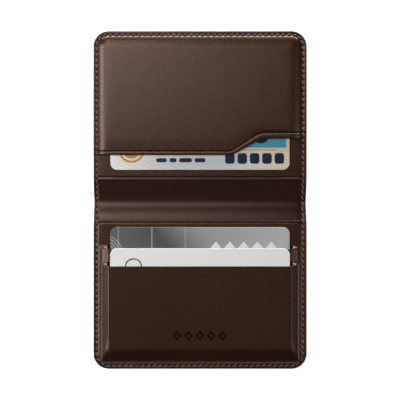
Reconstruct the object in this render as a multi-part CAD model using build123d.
from build123d import *
import math
import os

# Slim bifold card wallet, lying open and flat with its inside up. Millimetres.
# X runs across the wallet, +Y from the slot half to the pocket half, +Z out of the inside face.
# The origin is the middle of the outline, on the outer face of the cover.

# Outline
WIDTH = 102.0
LENGTH = 161.5
CORNER_R = 7.3

# Leather, liners and board
COVER_T = 1.1
STIFFENER_T = 0.3
STIFFENER_INSET = 3.2
LINING_T = 0.5
PANEL_T = 0.8
SLOT_PLY_T = 0.25

# Bank-card format, ISO/IEC 7810 ID-1
CARD_W = 85.6
CARD_H = 53.98
CARD_T = 0.76
CARD_R = 3.18
CARD_CLEARANCE = 0.05

# Fold: a hinge line on each side of the spine, each turning a quarter turn
SPINE_CENTRE_Y = -0.25
SPINE_W = 10.75
HINGE_Z = COVER_T / 2
HINGE_TURN = 90
HINGE_GAP = 0.05

# Seam all round the edge
SEAM_INSET = 1.85
THREAD_W = 0.5
THREAD_T = 0.35
GROOVE_W = 0.7
TOP_GROOVE = 0.25
UNDER_GROOVE = 0.4
THREAD_RISER = 0.5

# Slot half
SLOT_PANEL_EDGE_Y = -9.7
SLOT_PLY_EDGE_Y = -12.0
SLIT_LENGTH = 88.7
SLIT_HEIGHT = 2.0
REAR_SLIT_Y = -22.6
FRONT_SLIT_Y = -30.6
STRIP_TOP_Z = 4.85
FACE_TOP_Z = 6.42
FACE_BASE_X = 47.2
FACE_BEVEL = 3.8
FACE_BASE_Y = -78.1
FACE_TAPER_ROOM = 2.5
FACE_CORNER_R = 6.0
HEEL_TOP_Y = -71.7
HEEL_FOOT_Y = -77.2
HEEL_FOOT_Z = 4.5
REAR_CARD_TOP_Y = -13.0
REAR_CARD_TILT = 1.0
REAR_CARD_FOOT_Z = 2.22
FRONT_CARD_TOP_Y = -23.0
FRONT_CARD_TILT = 2.75
DIVIDER_TOP_Y = -24.6
DIVIDER_END_Y = -60.0
DIVIDER_W = 86.5

# Pocket half
BACKING_EDGE_Y = 9.2
POCKET_LEFT_Y = 21.5
POCKET_RIGHT_Y = 29.5
RAMP_START_X = 15.2
RAMP_END_X = 29.1
RAMP_R = 9.0
POCKET_RISE = 1.5
POCKET_BASE_X = 47.2
POCKET_BASE_Y = 77.5
POCKET_BEVEL = 4.8
POCKET_CORNER_R = 7.0
ID_CARD_LOW_Y = 14.4

# Heights in the stack, from the outer face of the cover
STIFFENER_Z = COVER_T
LINING_Z = STIFFENER_Z + STIFFENER_T
STACK_Z = LINING_Z + LINING_T
SPINE_TOP_Z = COVER_T + LINING_T
SLOT_PANEL_Z = STACK_Z + SLOT_PLY_T
SLOT_FLANGE_TOP_Z = SLOT_PANEL_Z + PANEL_T
BACKING_TOP_Z = STACK_Z + PANEL_T
POCKET_FLANGE_TOP_Z = BACKING_TOP_Z + PANEL_T

LOWER_HINGE_Y = SPINE_CENTRE_Y - SPINE_W / 2
UPPER_HINGE_Y = SPINE_CENTRE_Y + SPINE_W / 2
BIG = 200.0
TALL = 12.0


def outline(inset=0.0):
    """The wallet's outline, set in from its edge."""
    return RectangleRounded(WIDTH - 2 * inset, LENGTH - 2 * inset, CORNER_R - inset)


def plate(sketch, low, high):
    """A flat ply between two heights."""
    return extrude(Pos(0, 0, low) * sketch, amount=high - low)


def band(low_y, high_y, low_x=-BIG / 2, high_x=BIG / 2):
    """A rectangle between two Y values and two X values."""
    centre = Pos((low_x + high_x) / 2, (low_y + high_y) / 2, 0)
    return centre * Rectangle(high_x - low_x, high_y - low_y)


def seam_ring(width):
    """The stitch line, as a closed band of a given width."""
    return outline(SEAM_INSET - width / 2) - outline(SEAM_INSET + width / 2)


def segment(low_y, high_y, top):
    """The room for one rigid segment of the fold, with its ends cut back so neighbours can close."""
    lean = (top - HINGE_Z) * math.tan(math.radians(HINGE_TURN / 2))
    low = low_y + HINGE_GAP
    high = high_y - HINGE_GAP
    side = Polyline(
        (low, -1),
        (high, -1),
        (high, HINGE_Z),
        (high - lean, top),
        (low + lean, top),
        (low, HINGE_Z),
        close=True,
    )
    return extrude(Plane.YZ * make_face(side), amount=BIG / 2, both=True)


def lower_segment():
    return segment(-LENGTH, LOWER_HINGE_Y, TALL)


def upper_segment():
    return segment(UPPER_HINGE_Y, LENGTH, TALL)


def spine_segment():
    return segment(LOWER_HINGE_Y, UPPER_HINGE_Y, SPINE_TOP_Z + 1)


def cover():
    """The outer leather, with the groove that its bobbin thread lies in."""
    return plate(outline(), 0, COVER_T) - plate(seam_ring(GROOVE_W), 0, UNDER_GROOVE)


def bobbin_thread():
    return plate(seam_ring(THREAD_W), UNDER_GROOVE - THREAD_T, UNDER_GROOVE)


def top_groove(top):
    """The groove that the needle thread lies in, below a surface at a given height."""
    return plate(seam_ring(GROOVE_W), top - TOP_GROOVE, top + 1)


def half_lining():
    return plate(outline(), LINING_Z, STACK_Z) - top_groove(STACK_Z)


def spine_lining():
    return plate(outline(), COVER_T, SPINE_TOP_Z) - top_groove(SPINE_TOP_Z)


def half_stiffener():
    """Board between cover and lining, cut to stay inside the seam."""
    return plate(outline(STIFFENER_INSET), STIFFENER_Z, LINING_Z)


def thread_run(low_y, high_y, top, low_x=-BIG / 2, high_x=BIG / 2):
    """Needle thread on a surface at a given height."""
    run = seam_ring(THREAD_W) & band(low_y, high_y, low_x, high_x)
    low = top - TOP_GROOVE
    return plate(run, low, low + THREAD_T)


def thread_riser(edge_y, away, low_top, high_top, low_x=-BIG / 2, high_x=BIG / 2):
    """Needle thread climbing the edge of a ply; away is the side of the edge it lies on."""
    far_y = edge_y + away * THREAD_RISER
    run = seam_ring(THREAD_W) & band(min(edge_y, far_y), max(edge_y, far_y), low_x, high_x)
    return plate(run, low_top - TOP_GROOVE, high_top - TOP_GROOVE + THREAD_T)


def lower_needle_thread():
    thread = thread_run(-LENGTH, SLOT_PANEL_EDGE_Y + THREAD_RISER, SLOT_FLANGE_TOP_Z)
    thread += thread_riser(SLOT_PANEL_EDGE_Y, 1, STACK_Z, SLOT_FLANGE_TOP_Z)
    thread += thread_run(SLOT_PANEL_EDGE_Y, LOWER_HINGE_Y, STACK_Z)
    return thread & lower_segment()


def upper_needle_thread():
    thread = thread_run(UPPER_HINGE_Y, BACKING_EDGE_Y, STACK_Z)
    thread += thread_riser(BACKING_EDGE_Y, -1, STACK_Z, BACKING_TOP_Z)
    for low_x, high_x, edge_y in ((-BIG / 2, 0, POCKET_LEFT_Y), (0, BIG / 2, POCKET_RIGHT_Y)):
        start_y = BACKING_EDGE_Y - THREAD_RISER
        thread += thread_run(start_y, edge_y, BACKING_TOP_Z, low_x, high_x)
        thread += thread_riser(edge_y, -1, BACKING_TOP_Z, POCKET_FLANGE_TOP_Z, low_x, high_x)
        end_y = edge_y - THREAD_RISER
        thread += thread_run(end_y, LENGTH, POCKET_FLANGE_TOP_Z, low_x, high_x)
    return thread & upper_segment()


def spine_needle_thread():
    return thread_run(LOWER_HINGE_Y, UPPER_HINGE_Y, SPINE_TOP_Z) & spine_segment()


def tapered_block(low_y, high_y, half_x, corner_r, low_z, high_z, inset):
    """A block with rounded corners whose four sides lean in by inset from low_z to high_z."""
    width = 2 * half_x
    depth = high_y - low_y
    centre_y = (low_y + high_y) / 2
    base = Pos(0, centre_y, low_z) * RectangleRounded(width, depth, corner_r)
    top_size = RectangleRounded(width - 2 * inset, depth - 2 * inset, corner_r - inset)
    top = Pos(0, centre_y, high_z) * top_size
    return loft([base, top], ruled=True)


def moulded_pair(low_y, high_y, half_x, corner_r, flange_top, rise, bevel):
    """A raised block and the hollow under it, one ply apart."""
    slope = bevel / rise
    side_t = PANEL_T * math.hypot(1, slope)
    shift = PANEL_T * slope - side_t
    outer = tapered_block(low_y, high_y, half_x, corner_r, flange_top, flange_top + rise, bevel)
    inner = tapered_block(
        low_y - shift,
        high_y + shift,
        half_x + shift,
        corner_r + shift,
        flange_top - PANEL_T,
        flange_top - PANEL_T + rise,
        bevel,
    )
    return outer, inner


def heel_room(drop):
    """The space under the raised face's bevelled heel; drop moves it in from the outer skin."""
    side = Polyline(
        (FRONT_SLIT_Y, -1),
        (FRONT_SLIT_Y, FACE_TOP_Z - drop),
        (HEEL_TOP_Y, FACE_TOP_Z - drop),
        (HEEL_FOOT_Y, HEEL_FOOT_Z - drop),
        (FACE_BASE_Y + drop / 2, SLOT_FLANGE_TOP_Z - drop),
        (FACE_BASE_Y + drop / 2, -1),
        close=True,
    )
    return extrude(Plane.YZ * make_face(side), amount=BIG / 2, both=True)


def slit(centre_y):
    """A slit with round ends, right through the panel."""
    return plate(Pos(0, centre_y, 0) * SlotOverall(SLIT_LENGTH, SLIT_HEIGHT), 0, TALL)


def card_panel():
    """The moulded slot panel: a flat top band, a raised strip and a higher raised face."""
    half_slit = SLIT_HEIGHT / 2
    rise = FACE_TOP_Z - SLOT_FLANGE_TOP_Z
    low_y = FACE_BASE_Y - FACE_TAPER_ROOM
    outer, inner = moulded_pair(
        low_y, 0, FACE_BASE_X, FACE_CORNER_R, SLOT_FLANGE_TOP_Z, rise, FACE_BEVEL
    )
    strip = plate(band(FRONT_SLIT_Y, REAR_SLIT_Y - half_slit), 0, STRIP_TOP_Z)
    hollow = plate(band(FRONT_SLIT_Y, REAR_SLIT_Y), 0, STRIP_TOP_Z - PANEL_T)
    skin = outer & (heel_room(0) + strip)
    room = inner & (heel_room(PANEL_T) + hollow)
    flange = plate(outline() & band(-LENGTH, SLOT_PANEL_EDGE_Y), SLOT_PANEL_Z, SLOT_FLANGE_TOP_Z)
    panel = flange + skin - room
    panel -= slit(REAR_SLIT_Y)
    panel -= slit(FRONT_SLIT_Y)
    return panel - top_groove(SLOT_FLANGE_TOP_Z)


def slot_back_ply():
    """Thin liner behind the card slots, sewn in at the sides and the bottom."""
    return plate(outline() & band(-LENGTH, SLOT_PLY_EDGE_Y), STACK_Z, SLOT_PANEL_Z)


def card():
    """A bank card lying flat, with the middle of its low edge on the origin."""
    return plate(Pos(0, CARD_H / 2, 0) * RectangleRounded(CARD_W, CARD_H, CARD_R), 0, CARD_T)


def rear_card():
    low_y = REAR_CARD_TOP_Y - CARD_H * math.cos(math.radians(REAR_CARD_TILT))
    return Pos(0, low_y, REAR_CARD_FOOT_Z) * Rot(REAR_CARD_TILT, 0, 0) * card()


def front_card():
    """It leans on the strip between the slits."""
    tilt = math.radians(FRONT_CARD_TILT)
    low_y = FRONT_CARD_TOP_Y - CARD_H * math.cos(tilt)
    rest_y = FRONT_SLIT_Y + SLIT_HEIGHT / 2
    foot_z = STRIP_TOP_Z + CARD_CLEARANCE - (rest_y - low_y) * math.tan(tilt)
    return Pos(0, low_y, foot_z) * Rot(FRONT_CARD_TILT, 0, 0) * card()


def slot_divider():
    """Thin ply between the two cards, hung from the back of the strip."""
    tilt = math.radians(REAR_CARD_TILT)
    length = DIVIDER_TOP_Y - DIVIDER_END_Y
    rear_low_y = REAR_CARD_TOP_Y - CARD_H * math.cos(tilt)
    card_top = REAR_CARD_FOOT_Z + CARD_T + (DIVIDER_END_Y - rear_low_y) * math.tan(tilt)
    ply = plate(Pos(0, length / 2, 0) * Rectangle(DIVIDER_W, length), 0, SLOT_PLY_T)
    return Pos(0, DIVIDER_END_Y, card_top + CARD_CLEARANCE) * Rot(REAR_CARD_TILT, 0, 0) * ply


def backing_panel():
    """Flat leather behind the licence card, open towards the spine."""
    flat = plate(outline() & band(BACKING_EDGE_Y, LENGTH), STACK_Z, BACKING_TOP_Z)
    return flat - top_groove(BACKING_TOP_Z)


def pocket_outline():
    """The pocket panel's outline, with the stepped and ramped free edge."""
    edge = FilletPolyline(
        (-BIG / 2, POCKET_LEFT_Y),
        (RAMP_START_X, POCKET_LEFT_Y),
        (RAMP_END_X, POCKET_RIGHT_Y),
        (BIG / 2, POCKET_RIGHT_Y),
        radius=RAMP_R,
    )
    rest = Polyline(
        (BIG / 2, POCKET_RIGHT_Y),
        (BIG / 2, LENGTH),
        (-BIG / 2, LENGTH),
        (-BIG / 2, POCKET_LEFT_Y),
    )
    return outline() & make_face(edge + rest)


def pocket_panel():
    """The moulded pocket panel, raised over the licence card."""
    outer, inner = moulded_pair(
        0,
        POCKET_BASE_Y,
        POCKET_BASE_X,
        POCKET_CORNER_R,
        POCKET_FLANGE_TOP_Z,
        POCKET_RISE,
        POCKET_BEVEL,
    )
    shape = pocket_outline()
    flange = plate(shape, BACKING_TOP_Z, POCKET_FLANGE_TOP_Z)
    raised = outer & plate(shape, BACKING_TOP_Z, TALL)
    return flange + raised - inner - (top_groove(POCKET_FLANGE_TOP_Z) - outer)


def id_card():
    return Pos(0, ID_CARD_LOW_Y, BACKING_TOP_Z + CARD_CLEARANCE) * card()


def build():
    """Every node of the wallet, by name."""
    lower = lower_segment()
    spine = spine_segment()
    upper = upper_segment()
    return {
        "lower_cover": cover() & lower,
        "lower_stiffener": half_stiffener() & lower,
        "lower_lining": half_lining() & lower,
        "slot_back_ply": slot_back_ply(),
        "slot_divider": slot_divider(),
        "card_panel": card_panel(),
        "lower_needle_thread": lower_needle_thread(),
        "lower_bobbin_thread": bobbin_thread() & lower,
        "spine_cover": cover() & spine,
        "spine_lining": spine_lining() & spine,
        "spine_needle_thread": spine_needle_thread(),
        "spine_bobbin_thread": bobbin_thread() & spine,
        "upper_cover": cover() & upper,
        "upper_stiffener": half_stiffener() & upper,
        "upper_lining": half_lining() & upper,
        "backing_panel": backing_panel(),
        "pocket_panel": pocket_panel(),
        "upper_needle_thread": upper_needle_thread(),
        "upper_bobbin_thread": bobbin_thread() & upper,
        "id_card": id_card(),
        "rear_card": rear_card(),
        "front_card": front_card(),
    }


def main():
    os.makedirs("parts", exist_ok=True)
    for name, shape in build().items():
        export_step(shape, f"parts/{name}.step")


if __name__ == "__main__":
    main()
